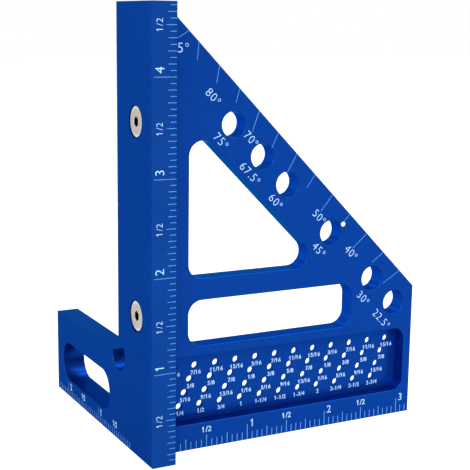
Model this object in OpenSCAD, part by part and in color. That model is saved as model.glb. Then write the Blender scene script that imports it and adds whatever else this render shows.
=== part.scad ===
// Multi-angle layout square: an L-shaped fence and a triangular protractor plate,
// held square to each other by two countersunk socket screws.
// X runs along the plate, Y from the front to the back, Z up. It stands on its bottom edges.

/* [Fence] */
// Thickness of the fence, from its outer face to the face that the plate butts on
fence_t = 6.9; // [6:0.1:9]
// Height of the upright bar
fence_h = 120; // [118:1:150]
// Width of the upright bar, front to back
bar_w = 23.1; // [18:0.1:28]
// Length of the fence's bottom edge, from the bar's front to the end of the foot
foot_l = 74.3; // [70:0.1:100]
// Height of the foot
foot_h = 25; // [23:0.1:32]
// Radius of the round relief in the corner between the bar and the foot
relief_r = 4.6; // [2:0.1:6]
// Chamfer on every edge of the fence and the plate
edge_chamfer = 0.15; // [0.1:0.05:0.5]

/* [Foot slot] */
// Length of the slot through the foot
slot_l = 39; // [20:0.5:44]
// Height of the slot
slot_h = 11.8; // [8:0.1:14]
// Corner radius of the slot
slot_r = 5.5; // [2:0.1:6]
// Metal left between the slot and the end of the foot
slot_end_wall = 5.2; // [3:0.1:8]
// Metal left under the slot
slot_floor_wall = 5.3; // [3:0.1:7]

/* [Protractor plate] */
// How far the plate's top corner lies below the top of the fence
plate_drop = 0.2; // [0:0.1:2]
// Thickness of the plate
plate_t = 5.4; // [5:0.1:8]
// How far the fence's narrow face stands in front of the plate
plate_setback = 7.7; // [4:0.1:9.5]
// Width of the sloping arm that carries the angle holes
arm_w = 15.8; // [13:0.1:18]
// Metal left between the last angle hole and the end of the plate
end_wall = 3.4; // [2:0.1:8]
// Width of the plate's upright beside both windows
upright_w = 7.1; // [6.6:0.1:8]
// Corner radius of both windows
window_r = 4; // [2:0.1:5]
// Height of the triangular window's lower edge above the bottom edge
triangle_z = 47.8; // [44:0.1:52]
// Height of the long window's lower edge above the bottom edge
long_window_z = 29.1; // [28.5:0.1:31]
// Metal left between the long window and the 30 degree hole
long_window_wall = 3.25; // [2:0.05:10]
// Height of the long window
long_window_h = 12.8; // [9:0.1:15]

/* [Angle holes] */
// Diameter of the six angle holes
angle_hole_d = 7; // [5:0.1:8]
// Distance that the holes' common pivot lies outside the plate's fence edge
pivot_out = 2.9; // [1:0.1:5]
// Height of that pivot above the bottom edge
pivot_up = 2.9; // [1:0.1:5]
// Diameter of the pricked spot beside the 45 degree hole
spot_d = 1.5; // [1:0.1:2]
// Depth of that spot
spot_depth = 0.25; // [0.1:0.05:0.5]
// Metal left between the spot and the chamfer of the hole
spot_gap = 0.15; // [0.1:0.05:0.5]

/* [Scribing field] */
// Thickness of the floor that the scribing holes go through
field_floor = 1.2; // [0.8:0.1:2]
// Metal left between the recess and the end of the plate
field_end_wall = 2.6; // [1:0.1:4]
// Height of the recess's lower edge above the bottom edge
field_z = 7.3; // [6:0.1:9]
// Height of the recess
field_h = 19.1; // [18:0.1:20.5]
// Corner radius of the recess
field_r = 3.5; // [1:0.1:4]
// Diameter of a scribing hole, to take a pencil lead
scribe_d = 1.95; // [1:0.05:2.4]
// Step from one scribing hole to the next along the plate, a sixteenth of an inch
scribe_pitch = 1.5875; // [1.5:0.0125:1.6]
// Least distance from the last scribing hole to the end of the recess
scribe_end_gap = 2.4; // [1.8:0.1:3.2]
// Number of rows that the scribing holes climb through
scribe_rows = 4; // [2:1:4]
// Height of the lowest row above the recess's lower edge
scribe_first_row = 4; // [3:0.1:5]
// Height from one row to the next
scribe_row_step = 3.75; // [3:0.05:4]

/* [Clamp screws] */
// Thread diameter of the two countersunk socket screws
screw_d = 4; // [3:0.5:4]
// Overall length of a screw
screw_l = 12; // [9:0.5:12.5]
// Length of the chamfer at a screw's point
screw_point = 0.5; // [0.2:0.1:1]
// Diameter of the head
head_d = 8; // [7:0.1:9]
// Height of the straight rim round the head
head_rim = 0.3; // [0.1:0.05:0.5]
// Width across the flats of the hexagon socket
socket_af = 2.5; // [2:0.1:3]
// Depth of the hexagon socket
socket_depth = 1.6; // [1:0.1:2]
// Depth of the head below the fence's outer face
head_recess = 0.2; // [0:0.05:0.5]
// Height of the lower screw above the bottom edge
lower_screw_z = 38.85; // [31:0.05:45]
// Height of the upper screw above the bottom edge
upper_screw_z = 89.9; // [70:0.1:95]
// Clearance round the thread in the fence, on the radius
fence_hole_clearance = 0.25; // [0.1:0.05:0.5]
// Clearance round the thread in the plate, on the radius
thread_clearance = 0.05; // [0.02:0.01:0.1]
// Clearance round the head in its countersink
head_clearance = 0.05; // [0.02:0.01:0.2]
// Length of hole left free past a screw's point
tap_spare = 0.5; // [0.3:0.1:0.7]

/* [Hidden] */

fence_blue = "#0b3f9c";
plate_blue = "#0a3a9e";
screw_silver = "#beb4a5";

$fn = 64;
// How far a cut runs past the surface that it opens
overrun = 1;
// The largest share of a window's height that one corner radius takes
corner_share = 0.48;

// The angles whose holes lie on the arm, in degrees from the bottom edge
hole_angles = [75, 67.5, 60, 45, 30, 22.5];
// The angle of the hole that the long window ends beside
window_angle = 30;
// The angle that also has a spot, and the direction from its hole to the spot
spot_angle = 45;
spot_bearing = 28;

// The sloping edge lies at 45 degrees, on the line x + z = plate_h
plate_h = fence_h - plate_drop;
// The arm's middle line and the window's slope are parallel to it
arm_middle = plate_h - arm_w / sqrt(2);
window_slope = plate_h - arm_w * sqrt(2);

// Depth of the plate's middle plane, on which the screws lie
plate_middle = plate_setback + plate_t / 2;
screw_heights = [lower_screw_z, upper_screw_z];
head_cone_h = (head_d - screw_d) / 2;
tapped_depth = screw_l + head_recess - fence_t + tap_spare;

// Where the hole for an angle lies: on its ray from the common pivot and on the arm's middle line
function hole_place(angle) =
    let (reach = (arm_middle + pivot_out - pivot_up) / (cos(angle) + sin(angle)))
    [reach * cos(angle) - pivot_out, reach * sin(angle) + pivot_up];

// The plate, its recess and its long window end beside the lowest holes
plate_l = hole_place(min(hole_angles)).x + angle_hole_d / 2 + end_wall;
field_l = plate_l - field_end_wall;
long_window_end = hole_place(window_angle).x - angle_hole_d / 2 - long_window_wall;
scribe_count = floor((field_l - scribe_end_gap) / scribe_pitch);

// Middle of the standing part's bounding box
origin_x = (plate_l - fence_t) / 2;
origin_y = foot_l / 2;

// Outlines are drawn counterclockwise, so the outside lies to the right of each side.

function direction(p, q) = (q - p) / norm(q - p);
function turn(p, q) = atan2(q.y - p.y, q.x - p.x);

// Centre of the circle of radius r that touches both sides at corner b of the path a, b, c
function fillet_centre(a, b, c, r) =
    let (
        to_a = direction(b, a),
        to_c = direction(b, c),
        half = acos(to_a * to_c) / 2
    )
    b + direction([0, 0], to_a + to_c) * r / sin(half);

// Cross-section of a cut into a wall of thickness t, from x = inner out to x = wall.
// It goes down to the floor or, with no floor, right through, and is chamfered at each open face.
function cut_section(inner, wall, t, floor) =
    let (
        c = edge_chamfer,
        mouth = wall + c + overrun,
        upper = [[wall, t - c], [mouth, t + overrun], [inner, t + overrun]]
    )
    is_undef(floor)
        ? concat([[inner, -overrun], [mouth, -overrun], [wall, c]], upper)
        : concat([[inner, floor], [wall, floor]], upper);

// A cut swept round an outline whose corners are rounded to radius r
module swept_cut(outline, r, t, floor) {
    n = len(outline);
    centres = [
        for (i = [0 : n - 1])
            fillet_centre(outline[(i + n - 1) % n], outline[i], outline[(i + 1) % n], r)
    ];
    // The corners turn the section round their centres
    for (centre = centres)
        translate([centre.x, centre.y, 0])
            rotate_extrude()
                polygon(cut_section(0, r, t, floor));
    // The straight sides run from one corner to the next, and lap over the middle
    for (i = [0 : n - 1]) {
        from = centres[i];
        to = centres[(i + 1) % n];
        translate([from.x, from.y, 0])
            rotate([0, 0, turn(from, to)])
                rotate([90, 0, 90])
                    linear_extrude(norm(to - from))
                        polygon([for (v = cut_section(-r / 2, r, t, floor)) [-v.x, v.y]]);
    }
    // The middle fills what they leave
    low = is_undef(floor) ? -overrun : floor;
    translate([0, 0, low])
        linear_extrude(t + overrun - low)
            polygon(centres);
}

// Takes the edge off a straight side from p to q, at a face on level 0 with the metal below it
module side_chamfer(p, q) {
    translate([p.x, p.y, 0])
        rotate([0, 0, turn(p, q)])
            translate([-edge_chamfer, 0, 0])
                rotate([90, 0, 90])
                    linear_extrude(norm(q - p) + 2 * edge_chamfer)
                        polygon([
                            [edge_chamfer + overrun, overrun],
                            [-overrun, overrun],
                            [-overrun, -edge_chamfer - overrun]
                        ]);
}

// A plate of thickness t with this outline, and with a chamfer round both faces
module chamfered_plate(outline, t) {
    n = len(outline);
    difference() {
        linear_extrude(t) polygon(outline);
        for (i = [0 : n - 1]) {
            translate([0, 0, t]) side_chamfer(outline[i], outline[(i + 1) % n]);
            // The back face is cut from below, where the outline runs the other way round
            rotate([180, 0, 0]) side_chamfer(flipped(outline[(i + 1) % n]), flipped(outline[i]));
        }
    }
}

function flipped(p) = [p.x, -p.y];

// A drilled hole through a wall of thickness t, with both mouths chamfered
module chamfered_hole(d, t) {
    mouth_r = d / 2 + edge_chamfer + overrun;
    translate([0, 0, -overrun]) cylinder(h = t + 2 * overrun, d = d);
    translate([0, 0, -overrun]) cylinder(h = edge_chamfer + overrun, r1 = mouth_r, r2 = d / 2);
    translate([0, 0, t - edge_chamfer]) cylinder(h = edge_chamfer + overrun, r1 = d / 2, r2 = mouth_r);
}

// The fence is drawn lying on its outer face, with the plate's side up
module fence_drawn() {
    slot_right = foot_l - slot_end_wall;
    slot_left = slot_right - slot_l;
    slot_top = slot_floor_wall + slot_h;
    difference() {
        chamfered_plate(
            [
                [0, 0],
                [foot_l, 0],
                [foot_l, foot_h],
                [bar_w, foot_h],
                [bar_w, fence_h],
                [0, fence_h]
            ],
            fence_t
        );
        // Round relief in the inner corner, so that a square corner of the work seats fully
        translate([bar_w, foot_h, 0]) chamfered_hole(2 * relief_r, fence_t);
        // Slot in the foot
        swept_cut(
            [
                [slot_left, slot_floor_wall],
                [slot_right, slot_floor_wall],
                [slot_right, slot_top],
                [slot_left, slot_top]
            ],
            min(slot_r, slot_h * corner_share),
            fence_t
        );
        for (z = screw_heights) translate([plate_middle, z, 0]) countersunk_hole();
    }
}

// Clearance hole and countersink for one clamp screw, opening at the outer face on level 0
module countersunk_hole() {
    seat_r = head_d / 2 + head_clearance;
    hole_r = screw_d / 2 + fence_hole_clearance;
    seat_top = head_recess + head_rim;
    translate([0, 0, -overrun]) cylinder(h = fence_t + 2 * overrun, r = hole_r);
    translate([0, 0, -overrun]) cylinder(h = seat_top + overrun, r = seat_r);
    translate([0, 0, seat_top]) cylinder(h = seat_r - hole_r, r1 = seat_r, r2 = hole_r);
}

module fence() {
    color(fence_blue)
        translate([-fence_t - origin_x, -origin_y, 0])
            rotate([90, 0, 90])
                fence_drawn();
}

// The protractor plate is drawn lying on its back face, with the marked face up
module plate_drawn() {
    difference() {
        chamfered_plate([[0, 0], [plate_l, 0], [plate_l, plate_h - plate_l], [0, plate_h]], plate_t);
        triangle_window();
        long_window();
        angle_holes();
        spot_mark();
        scribing_field();
        threaded_holes();
    }
}

// Triangular window between the upright, the sloping arm and the crossbar
module triangle_window() {
    swept_cut(
        [
            [upright_w, triangle_z],
            [window_slope - triangle_z, triangle_z],
            [upright_w, window_slope - upright_w]
        ],
        window_r,
        plate_t
    );
}

// Long window between the crossbar and the scribing field
module long_window() {
    top = long_window_z + long_window_h;
    swept_cut(
        [
            [upright_w, long_window_z],
            [long_window_end, long_window_z],
            [long_window_end, top],
            [upright_w, top]
        ],
        min(window_r, long_window_h * corner_share),
        plate_t
    );
}

module angle_holes() {
    for (angle = hole_angles)
        translate(hole_place(angle)) chamfered_hole(angle_hole_d, plate_t);
}

// Pricked spot in the marked face, beside one of the angle holes
module spot_mark() {
    reach = angle_hole_d / 2 + edge_chamfer + spot_gap + spot_d / 2;
    translate(hole_place(spot_angle))
        translate([reach * cos(spot_bearing), reach * sin(spot_bearing), plate_t - spot_depth])
            cylinder(h = spot_depth + overrun, d = spot_d);
}

// Recess with a thin floor, open towards the fence, and in it the scribing holes
module scribing_field() {
    open_end = -field_r - edge_chamfer - overrun;
    field_top = field_z + field_h;
    swept_cut(
        [[open_end, field_z], [field_l, field_z], [field_l, field_top], [open_end, field_top]],
        field_r,
        plate_t,
        field_floor
    );
    // Each hole stands one step further along and one row higher, and every fourth starts again
    first_row = field_z + scribe_first_row;
    for (i = [1 : scribe_count])
        translate([i * scribe_pitch, first_row + (i % scribe_rows) * scribe_row_step, -overrun])
            cylinder(h = field_floor + 2 * overrun, d = scribe_d, $fn = 24);
}

// Holes in the plate's fence edge that the clamp screws are screwed into
module threaded_holes() {
    for (z = screw_heights)
        translate([-overrun, z, plate_t / 2])
            rotate([0, 90, 0])
                cylinder(h = tapped_depth + overrun, r = screw_d / 2 + thread_clearance);
}

module protractor_plate() {
    color(plate_blue)
        translate([-origin_x, plate_setback + plate_t - origin_y, 0])
            rotate([90, 0, 0])
                plate_drawn();
}

// One screw, with the top of its head on level 0 and its point up
module screw_drawn() {
    head_r = head_d / 2;
    shank_r = screw_d / 2;
    difference() {
        rotate_extrude()
            polygon([
                [0, 0],
                [head_r, 0],
                [head_r, head_rim],
                [shank_r, head_rim + head_cone_h],
                [shank_r, screw_l - screw_point],
                [shank_r - screw_point, screw_l],
                [0, screw_l]
            ]);
        translate([0, 0, -overrun])
            cylinder(h = socket_depth + overrun, d = socket_af / cos(30), $fn = 6);
    }
}

module clamp_screws() {
    color(screw_silver)
        for (z = screw_heights)
            translate([head_recess - fence_t - origin_x, plate_middle - origin_y, z])
                rotate([0, 90, 0])
                    screw_drawn();
}

fence();
protractor_plate();
clamp_screws();
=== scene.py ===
# A multi-angle layout square of blue anodised aluminium, with its engraved scales and two screws.

import math

import bmesh
import bpy
from mathutils import Matrix, Vector


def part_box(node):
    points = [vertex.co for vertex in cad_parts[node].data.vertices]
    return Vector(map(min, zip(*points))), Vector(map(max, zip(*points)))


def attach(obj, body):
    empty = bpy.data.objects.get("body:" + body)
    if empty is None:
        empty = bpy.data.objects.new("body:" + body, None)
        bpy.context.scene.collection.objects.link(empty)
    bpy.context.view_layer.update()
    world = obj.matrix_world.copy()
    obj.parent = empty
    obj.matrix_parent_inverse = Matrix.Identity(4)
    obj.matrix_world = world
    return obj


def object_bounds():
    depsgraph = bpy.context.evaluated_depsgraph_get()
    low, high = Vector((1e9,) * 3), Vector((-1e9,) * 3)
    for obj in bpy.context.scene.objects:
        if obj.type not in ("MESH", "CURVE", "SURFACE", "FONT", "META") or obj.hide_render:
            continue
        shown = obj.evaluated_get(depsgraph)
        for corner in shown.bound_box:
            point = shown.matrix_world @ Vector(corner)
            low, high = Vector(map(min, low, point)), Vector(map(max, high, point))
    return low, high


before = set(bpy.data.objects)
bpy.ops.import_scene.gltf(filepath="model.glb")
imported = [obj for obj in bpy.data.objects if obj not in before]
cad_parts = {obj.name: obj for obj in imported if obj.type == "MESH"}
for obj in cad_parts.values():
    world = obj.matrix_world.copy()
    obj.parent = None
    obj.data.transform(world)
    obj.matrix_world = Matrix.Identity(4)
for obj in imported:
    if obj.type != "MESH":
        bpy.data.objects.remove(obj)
cad_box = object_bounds()

# Fence
# The L-shaped bar that lies along the edge of the work and stands on its foot. It is milled from
# 6.9 mm aluminium plate, broken at its edges, bead blasted and then anodised a deep blue.

MM = 0.001
FENCE_DYE = "#0e3b86"
# The colour of the fence's milled walls: the dye painted darker, as painted shade in the slot and
# relief
FENCE_WALL_PAINTED_SHADE = "#093283"
OXIDE_EDGE = "#3faec4"
# The dye's brightness in its lightest and darkest drifts
DRIFT_LIGHT = 1.07
DRIFT_DARK = 0.94
BLASTED_SHINE = 0.5
MILLED_SHINE = 0.8
BLAST_GRAIN = 0.3 * MM
BLAST_RELIEF = 0.02 * MM
BLAST_SMOOTHEST = 0.26
BLAST_ROUGHEST = 0.34
SHADE_DRIFT = 16 * MM
EDGE_ROUND = 0.08 * MM
# The painted shadow round each screw head fades between these two radii, and ends at this depth
GAP_SHADOW_IN = 4.2 * MM
GAP_SHADOW_OUT = 4.35 * MM
GAP_SHADOW_DEPTH = 1.0 * MM
GAP_SHADOW_COLOUR = "#02103c"
# Nearly all of a noise texture's values lie in this range
NOISE_LOW = 0.3
NOISE_HIGH = 0.7
# A face is a wall when it is tilted by more than 60 degrees from the sheet
WALL_COSINE = math.cos(math.radians(60))
# The slot and the corner relief, as ranges from the fence's front face and its bottom edge
SLOT_Y = (10 * MM, 73 * MM)
SLOT_Z = (5 * MM, 17.4 * MM)
RELIEF_Y = (18.45 * MM, 27.75 * MM)
RELIEF_Z = (20.35 * MM, 29.65 * MM)

screws_low, screws_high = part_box("clamp_screws")


def linear(colour, brightness=1.0):
    """The linear colour of an sRGB hex value, made brighter or darker by a factor."""
    shares = [int(colour[i:i + 2], 16) / 255 for i in (1, 3, 5)]
    levels = [s / 12.92 if s <= 0.04045 else ((s + 0.055) / 1.055) ** 2.4 for s in shares]
    return [level * brightness for level in levels] + [1]


def add_node(tree, kind, settings=None, links=None):
    """Adds a shader node, gives it its settings and links its inputs."""
    made = tree.nodes.new(kind)
    for name, value in (settings or {}).items():
        if isinstance(name, int) or name in made.inputs:
            made.inputs[name].default_value = value
        else:
            setattr(made, name, value)
    for name, output in (links or {}).items():
        tree.links.new(output, made.inputs[name])
    return made


def new_material(name):
    """An empty material and its node tree."""
    material = bpy.data.materials.new(name)
    material.use_nodes = True
    material.node_tree.nodes.clear()
    return material, material.node_tree


def about_screws(tree, place):
    """Distance from the nearer screw's axis, and depth under the face of its head."""
    # Both screws are alike about the height midway between them, so that half of it serves for both
    middle = (screws_low + screws_high) / 2
    head_r = (screws_high.y - screws_low.y) / 2
    reach = (screws_high.z - screws_low.z) / 2 - head_r
    centred = add_node(
        tree, "ShaderNodeVectorMath",
        {"operation": "SUBTRACT", 1: (screws_low.x, middle.y, middle.z)}, {0: place},
    )
    folded = add_node(
        tree, "ShaderNodeVectorMath", {"operation": "ABSOLUTE"}, {0: centred.outputs["Vector"]},
    )
    on_axis = add_node(
        tree, "ShaderNodeVectorMath",
        {"operation": "SUBTRACT", 1: (0, 0, reach)}, {0: folded.outputs["Vector"]},
    )
    across = add_node(
        tree, "ShaderNodeVectorMath",
        {"operation": "MULTIPLY", 1: (0, 1, 1)}, {0: on_axis.outputs["Vector"]},
    )
    radius = add_node(
        tree, "ShaderNodeVectorMath", {"operation": "LENGTH"}, {0: across.outputs["Vector"]},
    )
    depth = add_node(tree, "ShaderNodeSeparateXYZ", links={0: on_axis.outputs["Vector"]})
    return radius.outputs["Value"], depth.outputs["X"]


def milled_walls(tree, place, across, boxes):
    """1 on the walls that an end mill cut across the sheet inside some boxes, and 0 elsewhere."""
    shape = add_node(tree, "ShaderNodeNewGeometry")
    facing = add_node(
        tree, "ShaderNodeVectorMath",
        {"operation": "DOT_PRODUCT", 1: across}, {0: shape.outputs["True Normal"]},
    )
    wall = add_node(
        tree, "ShaderNodeMath",
        {"operation": "COMPARE", 1: 0, 2: WALL_COSINE}, {0: facing.outputs["Value"]},
    )
    parts = add_node(tree, "ShaderNodeSeparateXYZ", links={0: place})
    shares = []
    for low, high in boxes:
        share = wall.outputs["Value"]
        for axis, letter in enumerate("XYZ"):
            middle, reach = (low[axis] + high[axis]) / 2, (high[axis] - low[axis]) / 2
            within = add_node(
                tree, "ShaderNodeMath",
                {"operation": "COMPARE", 1: middle, 2: reach}, {0: parts.outputs[letter]},
            )
            share = add_node(
                tree, "ShaderNodeMath",
                {"operation": "MULTIPLY"}, {0: share, 1: within.outputs["Value"]},
            ).outputs["Value"]
        shares.append(share)
    total = shares[0]
    for share in shares[1:]:
        total = add_node(
            tree, "ShaderNodeMath", {"operation": "ADD"}, {0: total, 1: share},
        ).outputs["Value"]
    return total


def blasted_anodising(name, dye, painted_wall_colour, across, boxes, screwed=False):
    """Bead-blasted and dyed anodising: metal under a clear blue oxide.

    The blasting gives the eye a fine even grain that softens every reflection. Its real grain is
    about 0.05 mm and is drawn at 0.3 mm, because a finer one would not show. The beads hardly
    reach the walls that an end mill cut across the sheet, so these are shinier and show bright
    bands of light beside deep shade. Their colour is also set apart from the faces': darker as
    painted shade on the fence's walls, and lighter as painted light on the plate's. The dye bath
    leaves slow drifts of shade over many millimetres. Where screws sit in it, a near-black ring
    of painted shadow lies round each countersink's mouth, where the gap under the head is.
    """
    material, tree = new_material(name)
    place = add_node(tree, "ShaderNodeTexCoord").outputs["Object"]
    grain = add_node(
        tree, "ShaderNodeTexNoise",
        {"Scale": 1 / BLAST_GRAIN, "Detail": 3.0, "Roughness": 0.6}, {"Vector": place},
    )
    drift = add_node(
        tree, "ShaderNodeTexNoise",
        {"Scale": 1 / SHADE_DRIFT, "Detail": 2.0, "Roughness": 0.5}, {"Vector": place},
    )
    shade = add_node(
        tree, "ShaderNodeMix",
        {"data_type": "RGBA", "A": linear(dye, DRIFT_DARK), "B": linear(dye, DRIFT_LIGHT)},
        {"Factor": drift.outputs["Fac"]},
    )
    milled = milled_walls(tree, place, across, boxes)
    # The milled walls take their own colour: painted shade on the fence's walls, painted light on the
    # plate's
    painted_walls = add_node(
        tree, "ShaderNodeMix",
        {"data_type": "RGBA", "B": linear(painted_wall_colour)},
        {"Factor": milled, "A": shade.outputs["Result"]},
    )
    colour = painted_walls.outputs["Result"]
    shine = add_node(
        tree, "ShaderNodeMapRange",
        {"To Min": BLASTED_SHINE, "To Max": MILLED_SHINE}, {"Value": milled},
    )
    # A near-black ring of painted shadow round each screw head, where the gap under it is
    if screwed:
        radius, depth = about_screws(tree, place)
        wide = add_node(
            tree, "ShaderNodeMapRange",
            {"From Min": GAP_SHADOW_IN, "From Max": GAP_SHADOW_OUT, "To Min": 1, "To Max": 0},
            {"Value": radius},
        )
        near = add_node(
            tree, "ShaderNodeMath", {"operation": "LESS_THAN", 1: GAP_SHADOW_DEPTH}, {0: depth},
        )
        ring = add_node(
            tree, "ShaderNodeMath",
            {"operation": "MULTIPLY"}, {0: wide.outputs["Result"], 1: near.outputs["Value"]},
        )
        colour = add_node(
            tree, "ShaderNodeMix",
            {"data_type": "RGBA", "B": linear(GAP_SHADOW_COLOUR)},
            {"Factor": ring.outputs["Value"], "A": colour},
        ).outputs["Result"]
    rough = add_node(
        tree, "ShaderNodeMapRange",
        {
            "From Min": NOISE_LOW, "From Max": NOISE_HIGH,
            "To Min": BLAST_SMOOTHEST, "To Max": BLAST_ROUGHEST,
        },
        {"Value": grain.outputs["Fac"]},
    )
    broken_edge = add_node(tree, "ShaderNodeBevel", {"samples": 6, "Radius": EDGE_ROUND})
    bump = add_node(
        tree, "ShaderNodeBump",
        {"Strength": 0.1, "Distance": BLAST_RELIEF},
        {"Height": grain.outputs["Fac"], "Normal": broken_edge.outputs["Normal"]},
    )
    metal = add_node(
        tree, "ShaderNodeBsdfPrincipled",
        {"Specular IOR Level": 0.0, "Specular Tint": linear(OXIDE_EDGE)},
        {
            "Base Color": colour,
            "Metallic": shine.outputs["Result"],
            "Roughness": rough.outputs["Result"],
            "Normal": bump.outputs["Normal"],
        },
    )
    add_node(tree, "ShaderNodeOutputMaterial", links={"Surface": metal.outputs["BSDF"]})
    return material


def finish_node(name, material):
    """Gives a CAD node its finish."""
    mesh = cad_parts[name].data
    mesh.materials.clear()
    mesh.materials.append(material)


fence_low, fence_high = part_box("fence")
fence_cuts = [
    (
        Vector((fence_low.x - MM, fence_low.y + along[0], fence_low.z + above[0])),
        Vector((fence_high.x + MM, fence_low.y + along[1], fence_low.z + above[1])),
    )
    for along, above in ((SLOT_Y, SLOT_Z), (RELIEF_Y, RELIEF_Z))
]
finish_node("fence", blasted_anodising(
    "Blue_anodising_fence", FENCE_DYE, FENCE_WALL_PAINTED_SHADE, (1, 0, 0), fence_cuts, screwed=True,
))

# Protractor plate
# The triangular plate that lies on the face of the work. It is milled from 5.4 mm aluminium plate
# with its windows, angle holes and scribing recess, and is finished in the same bath as the fence.

PLATE_DYE = "#0a398b"
# The colour of the plate's milled walls: the dye painted lighter, as painted light on its walls
PLATE_WALL_PAINTED_LIGHT = "#0b3d9b"

plate_low, plate_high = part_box("protractor_plate")
finish_node("protractor_plate", blasted_anodising(
    "Blue_anodising_plate", PLATE_DYE, PLATE_WALL_PAINTED_LIGHT, (0, 1, 0), [(plate_low, plate_high)],
))

# Clamp screws
# Two countersunk socket screws that pull the fence against the plate's edge. They are turned steel,
# nickel plated to a warm silver. The socket is painted near black as painted shade.

FACE_NICKEL = "#a09d9a"
WARM_NICKEL = "#a79681"
RIM_PAINTED_HIGHLIGHT = "#bdbec4"
SOCKET_PAINTED_SHADE = "#0f0812"
SOCKET_R = 1.46 * MM
HEAD_FACE_DEPTH = 0.06 * MM
# The head's rim, painted lighter as a highlight, begins and is full at these two radii
RIM_IN = 3.25 * MM
RIM_OUT = 3.5 * MM
TURNING_STEP = 0.25 * MM
TURNING_RELIEF = 0.01 * MM
# The warm cast comes in patches of this size, where their noise lies between these two values
WARM_PATCH = 3 * MM
WARM_LOW = 0.45
WARM_HIGH = 0.65
WEAR_PATCH = 0.8 * MM
PLATED_SMOOTHEST = 0.28
PLATED_ROUGHEST = 0.42
PLATED_SHINE = 0.8


def nickel_plate(name):
    """Turned and nickel-plated steel.

    The tool's spiral gives the eye fine rings round each screw's axis. The real feed is about
    0.1 mm and is drawn at 0.25 mm. The face has a warm cast in places. Its rim is painted lighter
    as a painted highlight, and the socket is painted near black as painted shade.
    """
    material, tree = new_material(name)
    place = add_node(tree, "ShaderNodeTexCoord").outputs["Object"]
    radius, depth = about_screws(tree, place)
    turns = add_node(
        tree, "ShaderNodeMath",
        {"operation": "MULTIPLY", 1: 2 * math.pi / TURNING_STEP}, {0: radius},
    )
    rings = add_node(
        tree, "ShaderNodeMath", {"operation": "SINE"}, {0: turns.outputs["Value"]},
    )
    wear = add_node(
        tree, "ShaderNodeTexNoise",
        {"Scale": 1 / WEAR_PATCH, "Detail": 4.0}, {"Vector": place},
    )
    # The socket is painted near black, as painted shade
    inside = add_node(
        tree, "ShaderNodeMath",
        {"operation": "LESS_THAN", 1: SOCKET_R}, {0: radius},
    )
    below = add_node(
        tree, "ShaderNodeMath",
        {"operation": "GREATER_THAN", 1: HEAD_FACE_DEPTH}, {0: depth},
    )
    socket = add_node(
        tree, "ShaderNodeMath",
        {"operation": "MULTIPLY"}, {0: inside.outputs["Value"], 1: below.outputs["Value"]},
    )
    cast = add_node(
        tree, "ShaderNodeTexNoise", {"Scale": 1 / WARM_PATCH, "Detail": 1.0}, {"Vector": place},
    )
    warmth = add_node(
        tree, "ShaderNodeMapRange",
        {"From Min": WARM_LOW, "From Max": WARM_HIGH}, {"Value": cast.outputs["Fac"]},
    )
    face = add_node(
        tree, "ShaderNodeMix",
        {"data_type": "RGBA", "A": linear(FACE_NICKEL), "B": linear(WARM_NICKEL)},
        {"Factor": warmth.outputs["Result"]},
    )
    # The rim is painted lighter and bluer, as a painted highlight
    rim = add_node(
        tree, "ShaderNodeMapRange", {"From Min": RIM_IN, "From Max": RIM_OUT}, {"Value": radius},
    )
    face_and_highlight = add_node(
        tree, "ShaderNodeMix",
        {"data_type": "RGBA", "B": linear(RIM_PAINTED_HIGHLIGHT)},
        {"Factor": rim.outputs["Result"], "A": face.outputs["Result"]},
    )
    tone = add_node(
        tree, "ShaderNodeMix",
        {"data_type": "RGBA", "B": linear(SOCKET_PAINTED_SHADE)},
        {"Factor": socket.outputs["Value"], "A": face_and_highlight.outputs["Result"]},
    )
    rough = add_node(
        tree, "ShaderNodeMapRange",
        {
            "From Min": NOISE_LOW, "From Max": NOISE_HIGH,
            "To Min": PLATED_SMOOTHEST, "To Max": PLATED_ROUGHEST,
        },
        {"Value": wear.outputs["Fac"]},
    )
    bump = add_node(
        tree, "ShaderNodeBump",
        {"Strength": 0.25, "Distance": TURNING_RELIEF}, {"Height": rings.outputs["Value"]},
    )
    metal = add_node(
        tree, "ShaderNodeBsdfPrincipled",
        {"Metallic": PLATED_SHINE},
        {
            "Base Color": tone.outputs["Result"],
            "Roughness": rough.outputs["Result"],
            "Normal": bump.outputs["Normal"],
        },
    )
    add_node(tree, "ShaderNodeOutputMaterial", links={"Surface": metal.outputs["BSDF"]})
    return material


finish_node("clamp_screws", nickel_plate("Nickel_plated_steel"))

# Upright scale
# Sixteenths of an inch on the fence's narrow front face, read from the bottom edge up. A laser
# burns the blue oxide pale, in lines 0.135 mm wide. The numerals lie on their side.

INCH = 25.4 * MM
SIXTEENTH = INCH / 16
EDGE_CHAMFER = 0.15 * MM
LINE_BLUE = "#569ced"
NUMERAL_WHITE = "#acd7ff"
MARK_DOT = 0.12 * MM
MARK_DOT_SHADE = 0.9
MARK_ROUGHNESS = 0.6
MARK_DEPTH = 0.02 * MM
LINE_W = 0.135 * MM
# How much of the line's width each corner of its end is cut back, so that the end is nearly round
LINE_END_SHARE = 0.45
# Shares of the type's size: its capitals' height, each sign's advance and the degree sign's drop
CAP_SHARE = 0.69
DIGIT_ADVANCE_SHARE = 0.56
NARROW_ADVANCE_SHARES = {"/": 0.3, ".": 0.26, "-": 0.36, "°": 0.4}
DEGREE_DROP_SHARE = 0.07
DEGREE_GAIN = -0.02 * MM
ONE_OUTLINE = [
    (0.3, 0.0), (0.3, 0.69), (0.23, 0.69), (0.08, 0.55), (0.08, 0.45), (0.2, 0.53), (0.2, 0.0),
]
UPRIGHT_SIXTEENTHS = 75
UPRIGHT_LINES = {
    "inch": 6.3 * MM, "half": 2.9 * MM, "quarter": 2.55 * MM, "eighth": 2.5 * MM,
    "sixteenth": 1.9 * MM,
}
# Each kind of numeral: its capitals' height, the gain of its strokes, how far it is shifted along
# the scale and how far its middle lies above the edge
UPRIGHT_WHOLE = {"cap": 2.45 * MM, "gain": -0.02 * MM, "shift": 1.84 * MM, "above": 4.76 * MM}
UPRIGHT_HALF = {"cap": 1.76 * MM, "gain": -0.035 * MM, "shift": 0.0, "above": 4.82 * MM}


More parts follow.
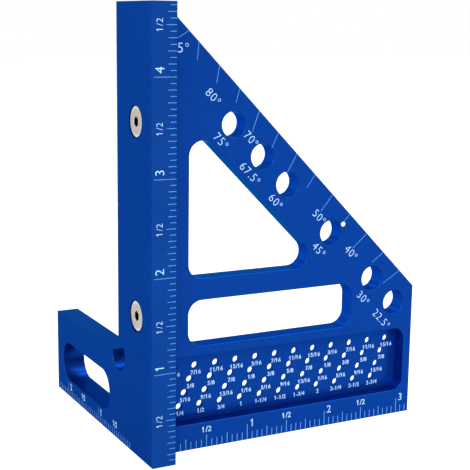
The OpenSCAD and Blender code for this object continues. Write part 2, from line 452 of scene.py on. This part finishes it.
def laser_marking(name, colour):
    """Oxide that a laser has burned pale. Its dots give the eye a slightly mottled matte surface."""
    material, tree = new_material(name)
    place = add_node(tree, "ShaderNodeTexCoord").outputs["Object"]
    dots = add_node(
        tree, "ShaderNodeTexNoise",
        {"Scale": 1 / MARK_DOT, "Detail": 1.0}, {"Vector": place},
    )
    tone = add_node(
        tree, "ShaderNodeMix",
        {"data_type": "RGBA", "A": linear(colour, MARK_DOT_SHADE), "B": linear(colour)},
        {"Factor": dots.outputs["Fac"]},
    )
    chalk = add_node(
        tree, "ShaderNodeBsdfPrincipled",
        {"Roughness": MARK_ROUGHNESS}, {"Base Color": tone.outputs["Result"]},
    )
    add_node(tree, "ShaderNodeOutputMaterial", links={"Surface": chalk.outputs["BSDF"]})
    return material


# A line is burned in one pass, which leaves some of the blue. A numeral is filled in several.
MARK_FINISHES = [
    laser_marking("Laser_line", LINE_BLUE), laser_marking("Laser_numeral", NUMERAL_WHITE),
]
LINE_FINISH = 0
NUMERAL_FINISH = 1


def face_place(corner, right, up):
    """The place of a marked face, from one of its corners and the reader's right and up."""
    out = Vector(right).cross(Vector(up))
    turned = Matrix((right, up, out)).transposed().to_4x4()
    return Matrix.Translation(corner) @ turned


def pour(source, target, finish):
    """Adds one bmesh to another, with one of the target's finishes."""
    for face in source.faces:
        face.material_index = finish
    held = bpy.data.meshes.new("held")
    source.to_mesh(held)
    source.free()
    target.from_mesh(held)
    bpy.data.meshes.remove(held)


def add_line(marks, x, y, turn, length, width=LINE_W):
    """A marked line from (x, y) of the face, with round ends."""
    bar = bmesh.new()
    bmesh.ops.create_cube(bar, size=1)
    bmesh.ops.scale(bar, vec=(length, width, MARK_DEPTH), verts=bar.verts)
    bmesh.ops.translate(bar, vec=(length / 2, 0, 0), verts=bar.verts)
    corners = [e for e in bar.edges if abs(e.verts[0].co.z - e.verts[1].co.z) > MARK_DEPTH / 2]
    bmesh.ops.bevel(
        bar, geom=corners, offset=width * LINE_END_SHARE, segments=2, profile=0.5,
        affect="EDGES", material=-1,
    )
    bar.transform(Matrix.Translation((x, y, 0)) @ Matrix.Rotation(turn, 4, "Z"))
    pour(bar, marks, LINE_FINISH)


def flagged_one():
    """The numeral 1 with its flag, as a flat curve for type one unit in size."""
    curve = bpy.data.curves.new("one", "CURVE")
    curve.dimensions = "2D"
    spline = curve.splines.new("POLY")
    spline.points.add(len(ONE_OUTLINE) - 1)
    for point, (x, y) in zip(spline.points, ONE_OUTLINE):
        point.co = (x, y, 0, 1)
    spline.use_cyclic_u = True
    return curve


glyphs = {}


def glyph(letter, size, gain):
    """The mesh of one numeral or sign, as type one unit in size and one unit deep.

    The laser's spot has one width, so small type gains more at each side of a stroke.
    """
    if (letter, size, gain) not in glyphs:
        if letter == "1":
            curve = flagged_one()
        else:
            curve = bpy.data.curves.new("numeral", "FONT")
            curve.body = letter
        curve.fill_mode = "BOTH"
        curve.resolution_u = 3
        curve.offset = gain / size
        curve.extrude = 0.5
        holder = bpy.data.objects.new("numeral", curve)
        glyphs[letter, size, gain] = bpy.data.meshes.new_from_object(holder)
        bpy.data.objects.remove(holder)
        bpy.data.curves.remove(curve)
    return glyphs[letter, size, gain]


def add_words(marks, words, x, y, turn, cap, gain):
    """Numerals centred on (x, y) of the face, cap high and turned anticlockwise."""
    size = cap / CAP_SHARE
    advances = [NARROW_ADVANCE_SHARES.get(letter, DIGIT_ADVANCE_SHARE) for letter in words]
    # A degree sign hangs outside the centred numerals
    pen = -sum(a for a, letter in zip(advances, words) if letter != "°") / 2
    for letter, advance in zip(words, advances):
        sign = bmesh.new()
        sign.from_mesh(glyph(letter, size, DEGREE_GAIN if letter == "°" else gain))
        drop = DEGREE_DROP_SHARE if letter == "°" else 0
        sign.transform(
            Matrix.Translation((x, y, 0))
            @ Matrix.Rotation(turn, 4, "Z")
            @ Matrix.Diagonal((size, size, MARK_DEPTH, 1))
            @ Matrix.Translation((pen, -CAP_SHARE / 2 - drop, 0))
        )
        pour(sign, marks, NUMERAL_FINISH)
        pen += advance


def marked_face(name, marks, place):
    """Makes one piece of all the marks on a face, and lays it on the face."""
    marks.transform(place)
    bmesh.ops.remove_doubles(marks, verts=marks.verts, dist=MARK_DEPTH / 1000)
    bmesh.ops.recalc_face_normals(marks, faces=marks.faces)
    mesh = bpy.data.meshes.new(name)
    marks.to_mesh(mesh)
    marks.free()
    for finish in MARK_FINISHES:
        mesh.materials.append(finish)
    piece = bpy.data.objects.new(name, mesh)
    bpy.context.scene.collection.objects.link(piece)
    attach(piece, "root")


def rank(sixteenths):
    """Which of the scale's lines this one is."""
    for step, name in ((16, "inch"), (8, "half"), (4, "quarter"), (2, "eighth")):
        if sixteenths % step == 0:
            return name
    return "sixteenth"


def add_scale(marks, places, lines, whole, half, width=LINE_W):
    """A line from the edge for each sixteenth, at its place, and numerals at inches and halves."""
    for i, along in enumerate(places, 1):
        kind = rank(i)
        add_line(marks, along, EDGE_CHAMFER, math.pi / 2, lines[kind] - EDGE_CHAMFER, width)
        if kind in ("inch", "half"):
            words, style = (str(i // 16), whole) if kind == "inch" else ("1/2", half)
            add_words(
                marks, words, along + style["shift"], style["above"], 0, style["cap"], style["gain"],
            )


upright_marks = bmesh.new()
upright_places = [i * SIXTEENTH for i in range(1, UPRIGHT_SIXTEENTHS + 1)]
add_scale(upright_marks, upright_places, UPRIGHT_LINES, UPRIGHT_WHOLE, UPRIGHT_HALF)
# It is read with the head on its side: the reader's right is up, and the reader's up is the left
marked_face(
    "upright_scale", upright_marks,
    face_place((fence_high.x, fence_low.y, fence_low.z), (0, 0, 1), (-1, 0, 0)),
)

# Plate scale
# Sixteenths of an inch along the plate's bottom edge, with zero about at the fence. The lines on
# the plate and the foot are burned 0.2 mm wide, wider than those of the upright scale.

PLATE_LINES = {
    "inch": 4.6 * MM, "half": 3.8 * MM, "quarter": 3.2 * MM, "eighth": 2.4 * MM,
    "sixteenth": 2.35 * MM,
}
PLATE_ZERO = 0.12 * MM
PLATE_SIXTEENTHS = 50
PLATE_LINE_W = 0.2 * MM
PLATE_WHOLE = {"cap": 2.2 * MM, "gain": 0.0, "shift": 1.65 * MM, "above": 4.88 * MM}
PLATE_HALF = {"cap": 1.55 * MM, "gain": 0.035 * MM, "shift": 0.0, "above": 5.28 * MM}

plate_marks = bmesh.new()
plate_places = [PLATE_ZERO + i * SIXTEENTH for i in range(1, PLATE_SIXTEENTHS + 1)]
add_scale(plate_marks, plate_places, PLATE_LINES, PLATE_WHOLE, PLATE_HALF, PLATE_LINE_W)
plate_face = face_place(plate_low, (1, 0, 0), (0, 0, 1))
marked_face("plate_scale", plate_marks, plate_face)

# Foot scale
# Sixteenths of an inch along the bottom edge of the foot, on the fence's outer face. Its zero lies
# about in line with the plate's back, and it is read from outside, so it runs from right to left.

FOOT_ZERO = 13.6 * MM
FOOT_SIXTEENTHS = 37
FOOT_LINE_W = 0.2 * MM
FOOT_LINES = {
    "inch": 4.6 * MM, "half": 2.7 * MM, "quarter": 2.5 * MM, "eighth": 2.3 * MM,
    "sixteenth": 2.15 * MM,
}
FOOT_WHOLE = {"cap": 2.0 * MM, "gain": 0.05 * MM, "shift": 2.25 * MM, "above": 3.5 * MM}
FOOT_HALF = {"cap": 1.55 * MM, "gain": 0.05 * MM, "shift": 0.35 * MM, "above": 3.7 * MM}

foot_marks = bmesh.new()
foot_places = [-(FOOT_ZERO + i * SIXTEENTH) for i in range(1, FOOT_SIXTEENTHS + 1)]
add_scale(foot_marks, foot_places, FOOT_LINES, FOOT_WHOLE, FOOT_HALF, FOOT_LINE_W)
marked_face("foot_scale", foot_marks, face_place(fence_low, (0, -1, 0), (0, 0, 1)))

# Angle scale
# Twelve lines from the sloping edge, each lying at its own angle from the bottom edge, with the
# tens numbered. A short arc near the top corner marks the end of the scale.

SLOPE_TOP = plate_high.z
FIRST_ANGLE = 85
ANGLE_STEP = 5
FIRST_ANGLE_X = 9.6 * MM
ANGLE_LINE_STEP = 6.01 * MM
ANGLE_LINE_INSET = 0.2 * MM
# The lines' lengths from 85 degrees down, longer at the tens, and short beside the 45 degree hole
ANGLE_LENGTHS = [
    length * MM for length in (4.6, 4.6, 3.8, 5.8, 4.5, 5.8, 4.2, 5.8, 3.3, 6.2, 4.6, 6.4)
]
ANGLE_NUMERAL_CAP = 2.3 * MM
ANGLE_NUMERAL_GAIN = -0.045 * MM
ANGLE_NUMERAL_TURN = -math.pi / 4
# Angles with a numeral at the line's inner end, and how far the numeral lies past it
NUMBERED_ANGLES = {
    80: (-1.35 * MM, -3.0 * MM), 70: (-0.75 * MM, -1.5 * MM),
    50: (-0.9 * MM, -1.1 * MM), 40: (-0.8 * MM, -0.7 * MM),
}
TOP_NUMERAL_CAP = 2.55 * MM
TOP_NUMERAL_GAIN = -0.03 * MM
TOP_NUMERAL_PLACE = (3.44 * MM, 108.6 * MM)
ARC_CENTRE = (-2.75 * MM, 125.2 * MM)
ARC_R = 15.5 * MM
ARC_FROM = math.radians(-78.5)
ARC_TO = math.radians(-52.7)
ARC_LINES = 12

angle_marks = bmesh.new()
for k, length in enumerate(ANGLE_LENGTHS):
    angle = FIRST_ANGLE - ANGLE_STEP * k
    turn = math.radians(angle) + math.pi
    x = FIRST_ANGLE_X + ANGLE_LINE_STEP * k + ANGLE_LINE_INSET * math.cos(turn)
    z = SLOPE_TOP - FIRST_ANGLE_X - ANGLE_LINE_STEP * k + ANGLE_LINE_INSET * math.sin(turn)
    add_line(angle_marks, x, z, turn, length)
    if angle in NUMBERED_ANGLES:
        past_x, past_z = NUMBERED_ANGLES[angle]
        add_words(
            angle_marks, f"{angle}°", x + length * math.cos(turn) + past_x,
            z + length * math.sin(turn) + past_z, ANGLE_NUMERAL_TURN,
            ANGLE_NUMERAL_CAP, ANGLE_NUMERAL_GAIN,
        )
add_words(angle_marks, f"{FIRST_ANGLE}°", *TOP_NUMERAL_PLACE, 0, TOP_NUMERAL_CAP, TOP_NUMERAL_GAIN)
for k in range(ARC_LINES):
    turn = ARC_FROM + (ARC_TO - ARC_FROM) * k / ARC_LINES
    chord = ARC_R * (ARC_TO - ARC_FROM) / ARC_LINES
    add_line(
        angle_marks, ARC_CENTRE[0] + ARC_R * math.cos(turn), ARC_CENTRE[1] + ARC_R * math.sin(turn),
        turn + math.pi / 2, chord,
    )
marked_face("angle_scale", angle_marks, plate_face)

# Angle numerals
# The angle of each hole in the sloping arm, burned by the laser beside the hole, on the side of the
# windows. The holes lie on rays from one pivot, just outside the plate's edge at the fence.

# Each angle, how far down the arm its numeral is shifted, and how far it lies from the hole
HOLE_ANGLES = {
    75: (-0.35 * MM, 5.62 * MM), 67.5: (-0.2 * MM, 5.8 * MM), 60: (0.0, 5.8 * MM),
    45: (-0.1 * MM, 6.0 * MM), 30: (1.4 * MM, 6.0 * MM), 22.5: (-0.15 * MM, 6.2 * MM),
}
PIVOT_OUT = 2.9 * MM
PIVOT_UP = 2.9 * MM
ARM_W = 15.8 * MM


def hole_place(angle):
    """Where an angle's hole lies: on its ray from the pivot and on the arm's middle line."""
    middle = SLOPE_TOP - ARM_W / math.sqrt(2)
    turn = math.radians(angle)
    reach = (middle + PIVOT_OUT - PIVOT_UP) / (math.cos(turn) + math.sin(turn))
    return reach * math.cos(turn) - PIVOT_OUT, reach * math.sin(turn) + PIVOT_UP


hole_marks = bmesh.new()
for angle, (shift, away) in HOLE_ANGLES.items():
    hole_x, hole_z = hole_place(angle)
    add_words(
        hole_marks, f"{angle}°",
        hole_x + (shift - away) / math.sqrt(2), hole_z - (shift + away) / math.sqrt(2),
        ANGLE_NUMERAL_TURN, ANGLE_NUMERAL_CAP, ANGLE_NUMERAL_GAIN,
    )
marked_face("hole_numerals", hole_marks, plate_face)

# Scribing numerals
# The distance of each scribing hole from the fence, marked under it on the floor of the recess.
# The lowest row has the whole quarters, and the rows above it give the fraction alone.

SCRIBE_HOLES = 47
SCRIBE_ROWS = 4
SCRIBE_FIRST_Z = 11.3 * MM
SCRIBE_ROW_STEP = 3.75 * MM
RECESS_DEPTH = 4.2 * MM
SCRIBE_NUMERAL_CAP = 1.15 * MM
SCRIBE_NUMERAL_GAIN = 0.045 * MM
SCRIBE_NUMERAL_SHIFT = 0.3 * MM
SCRIBE_NUMERAL_DROP = 1.98 * MM


def inches(sixteenths, whole_too):
    """The words for a distance, such as 1-3/4."""
    whole, part = divmod(sixteenths, 16)
    if part == 0:
        return str(whole)
    shared = math.gcd(part, 16)
    words = f"{part // shared}/{16 // shared}"
    return f"{whole}-{words}" if whole and whole_too else words


scribe_marks = bmesh.new()
for i in range(1, SCRIBE_HOLES + 1):
    row = i % SCRIBE_ROWS
    add_words(
        scribe_marks, inches(i, row == 0), i * SIXTEENTH + SCRIBE_NUMERAL_SHIFT,
        SCRIBE_FIRST_Z + row * SCRIBE_ROW_STEP - SCRIBE_NUMERAL_DROP, 0,
        SCRIBE_NUMERAL_CAP, SCRIBE_NUMERAL_GAIN,
    )
marked_face(
    "scribing_numerals", scribe_marks,
    face_place((plate_low.x, plate_low.y + RECESS_DEPTH, plate_low.z), (1, 0, 0), (0, 0, 1)),
)

# Spot
# The pricked spot at the inner end of the 45 degree line. It is filled with white enamel, which
# dries with a slight crown.

SPOT_R = 0.75 * MM
# The hole that it lies beside, and how far and in which direction it lies from that hole's middle
SPOT_ANGLE = 45
SPOT_REACH = 4.55 * MM
SPOT_BEARING = math.radians(28)
SPOT_CLEARANCE = 0.03 * MM
SPOT_FILL_R = SPOT_R - SPOT_CLEARANCE
SPOT_FILL_DEPTH = 0.22 * MM
SPOT_CROWN = 0.06 * MM
# At this share of its radius the crown has fallen by this share of its height
CROWN_BEND_R = 0.7
CROWN_BEND_FALL = 0.3
SPOT_WELD = 0.001 * MM
ENAMEL_WHITE = "#f6f8fb"
ENAMEL_STIR = 0.4 * MM
ENAMEL_SMOOTHEST = 0.25
ENAMEL_ROUGHEST = 0.4

hole_x, hole_z = hole_place(SPOT_ANGLE)
fill = bmesh.new()
profile = [fill.verts.new(p) for p in (
    (0, 0, -SPOT_FILL_DEPTH),
    (SPOT_FILL_R, 0, -SPOT_FILL_DEPTH),
    (SPOT_FILL_R, 0, -SPOT_CROWN),
    (SPOT_FILL_R * CROWN_BEND_R, 0, -SPOT_CROWN * CROWN_BEND_FALL),
    (0, 0, 0),
)]
rim = [fill.edges.new(pair) for pair in zip(profile, profile[1:])]
bmesh.ops.spin(
    fill, geom=profile + rim, cent=(0, 0, 0), axis=(0, 0, 1), angle=2 * math.pi, steps=32,
    use_merge=True,
)
bmesh.ops.remove_doubles(fill, verts=fill.verts, dist=SPOT_WELD)
bmesh.ops.recalc_face_normals(fill, faces=fill.faces)
fill.transform(plate_face @ Matrix.Translation((
    hole_x + SPOT_REACH * math.cos(SPOT_BEARING), hole_z + SPOT_REACH * math.sin(SPOT_BEARING), 0,
)))
spot_mesh = bpy.data.meshes.new("spot_fill")
fill.to_mesh(spot_mesh)
fill.free()


def enamel(name):
    """White enamel pressed into the spot. It gives the eye a soft and faintly uneven gloss."""
    material, tree = new_material(name)
    place = add_node(tree, "ShaderNodeTexCoord").outputs["Object"]
    stir = add_node(
        tree, "ShaderNodeTexNoise",
        {"Scale": 1 / ENAMEL_STIR, "Detail": 2.0}, {"Vector": place},
    )
    gloss = add_node(
        tree, "ShaderNodeMapRange",
        {"To Min": ENAMEL_SMOOTHEST, "To Max": ENAMEL_ROUGHEST}, {"Value": stir.outputs["Fac"]},
    )
    paint = add_node(
        tree, "ShaderNodeBsdfPrincipled",
        {"Base Color": linear(ENAMEL_WHITE)}, {"Roughness": gloss.outputs["Result"]},
    )
    add_node(tree, "ShaderNodeOutputMaterial", links={"Surface": paint.outputs["BSDF"]})
    return material


spot_mesh.materials.append(enamel("White_enamel"))
spot = bpy.data.objects.new("spot_fill", spot_mesh)
bpy.context.scene.collection.objects.link(spot)
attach(spot, "root")

# Studio
# A white floor and a white sky, and a ring of round soft boxes. The strongest stand in front, low
# and to the left of the camera's line, and those overhead draw the bands on the curved walls.

FLOOR_SIZE = 6.0
# The paper as scattered light finds it, and the grey that lies under its glow
FLOOR_WHITE = "#f4f4f4"
FLOOR_SHADE = "#a0a0a0"
SHOWN_WHITE = "#ffffff"
SKY_FILL = 0.1
BOX_SIZE = 0.9
BOX_DISTANCE = 1.5
# Each soft box's bearing, clockwise from straight behind the plate, its elevation and its watts
SOFT_BOXES = {
    "front_box": (202.5, 30, 12.4), "left_box": (247.5, 30, 9.3), "left_high_box": (240, 52, 3.0),
    "right_front_box": (120, 52, 9.0), "right_rear_box": (60, 52, 7.6), "overhead_box": (30, 75, 2.8),
    "rear_box": (0, 52, 3.0), "rear_low_box": (325, 8, 1.3), "front_low_box": (180, 8, 1.5),
}


def background_rays(tree):
    """1 for the camera's rays and those that metal or glass sends on, and 0 for scattered light."""
    rays = add_node(tree, "ShaderNodeLightPath")
    through = add_node(
        tree, "ShaderNodeMath",
        {"operation": "MAXIMUM"},
        {0: rays.outputs["Is Camera Ray"], 1: rays.outputs["Is Transmission Ray"]},
    )
    shown = add_node(
        tree, "ShaderNodeMath",
        {"operation": "MAXIMUM"}, {0: through.outputs["Value"], 1: rays.outputs["Is Glossy Ray"]},
    )
    return shown.outputs["Value"]


floor_mesh = bpy.data.meshes.new("floor")
slab = bmesh.new()
bmesh.ops.create_grid(slab, x_segments=1, y_segments=1, size=FLOOR_SIZE / 2)
bmesh.ops.translate(slab, vec=(0, 0, cad_box[0][2]), verts=slab.verts)
slab.to_mesh(floor_mesh)
slab.free()
floor = bpy.data.objects.new("floor", floor_mesh)
bpy.context.scene.collection.objects.link(floor)

# The camera and the metal's reflections see the paper glow white. Its scattered light is that of
# plain white paper.
paper, paper_tree = new_material("White_paper")
paper_shown = background_rays(paper_tree)
shaded = add_node(paper_tree, "ShaderNodeBsdfDiffuse", {"Color": linear(FLOOR_SHADE)})
glow = add_node(
    paper_tree, "ShaderNodeEmission", {"Color": linear(SHOWN_WHITE)}, {"Strength": paper_shown},
)
glowing = add_node(
    paper_tree, "ShaderNodeAddShader",
    links={0: shaded.outputs["BSDF"], 1: glow.outputs["Emission"]},
)
plain = add_node(paper_tree, "ShaderNodeBsdfDiffuse", {"Color": linear(FLOOR_WHITE)})
paper_face = add_node(
    paper_tree, "ShaderNodeMixShader",
    links={0: paper_shown, 1: plain.outputs["BSDF"], 2: glowing.outputs["Shader"]},
)
add_node(paper_tree, "ShaderNodeOutputMaterial", links={"Surface": paper_face.outputs["Shader"]})
floor_mesh.materials.append(paper)

sky = bpy.data.worlds.new("studio")
bpy.context.scene.world = sky
sky.use_nodes = True
sky_tree = sky.node_tree
sky_tree.nodes.clear()
fill_light, white_sky = (
    add_node(sky_tree, "ShaderNodeBackground", {"Color": linear(SHOWN_WHITE), "Strength": strength})
    for strength in (SKY_FILL, 1.0)
)
sky_face = add_node(
    sky_tree, "ShaderNodeMixShader",
    links={
        0: background_rays(sky_tree),
        1: fill_light.outputs["Background"],
        2: white_sky.outputs["Background"],
    },
)
add_node(sky_tree, "ShaderNodeOutputWorld", links={"Surface": sky_face.outputs["Shader"]})

target = (Vector(cad_box[0]) + Vector(cad_box[1])) / 2
for name, (bearing, elevation, watts) in SOFT_BOXES.items():
    lamp = bpy.data.lights.new(name, "AREA")
    lamp.shape = "DISK"
    lamp.size = BOX_SIZE
    lamp.energy = watts
    around, above = math.radians(bearing), math.radians(elevation)
    out = Vector((
        math.sin(around) * math.cos(above), math.cos(around) * math.cos(above), math.sin(above),
    ))
    holder = bpy.data.objects.new(name, lamp)
    holder.location = target + out * BOX_DISTANCE
    holder.rotation_euler = (-out).to_track_quat("-Z", "Y").to_euler()
    bpy.context.scene.collection.objects.link(holder)

# Camera
# The photograph's viewpoint, to the left of the plate and a little above it. The angles turn it
# from looking along +Y: yaw to the right, pitch upwards and roll about the line of sight.

FRAME_PIXELS = 470
FOCAL_PIXELS = 1113.3
CAMERA_PLACE = Vector((-153.863, -289.167, 115.269)) * MM
CAMERA_YAW = 0.48746
CAMERA_PITCH = -0.18953
CAMERA_ROLL = 0.01386
NEAREST_SEEN = 10 * MM

forward = Vector((
    math.sin(CAMERA_YAW) * math.cos(CAMERA_PITCH),
    math.cos(CAMERA_YAW) * math.cos(CAMERA_PITCH),
    math.sin(CAMERA_PITCH),
))
level_right = Vector((math.cos(CAMERA_YAW), -math.sin(CAMERA_YAW), 0))
level_up = level_right.cross(forward)
right = math.cos(CAMERA_ROLL) * level_right + math.sin(CAMERA_ROLL) * level_up
up = math.cos(CAMERA_ROLL) * level_up - math.sin(CAMERA_ROLL) * level_right
lens = bpy.data.cameras.new("camera")
lens.lens = lens.sensor_width * FOCAL_PIXELS / FRAME_PIXELS
lens.clip_start = NEAREST_SEEN
camera = bpy.data.objects.new("camera", lens)
aim = Matrix((right, up, -forward)).transposed().to_4x4()
camera.matrix_world = Matrix.Translation(CAMERA_PLACE) @ aim
bpy.context.scene.collection.objects.link(camera)
bpy.context.scene.camera = camera
bpy.context.scene.view_settings.view_transform = "Standard"
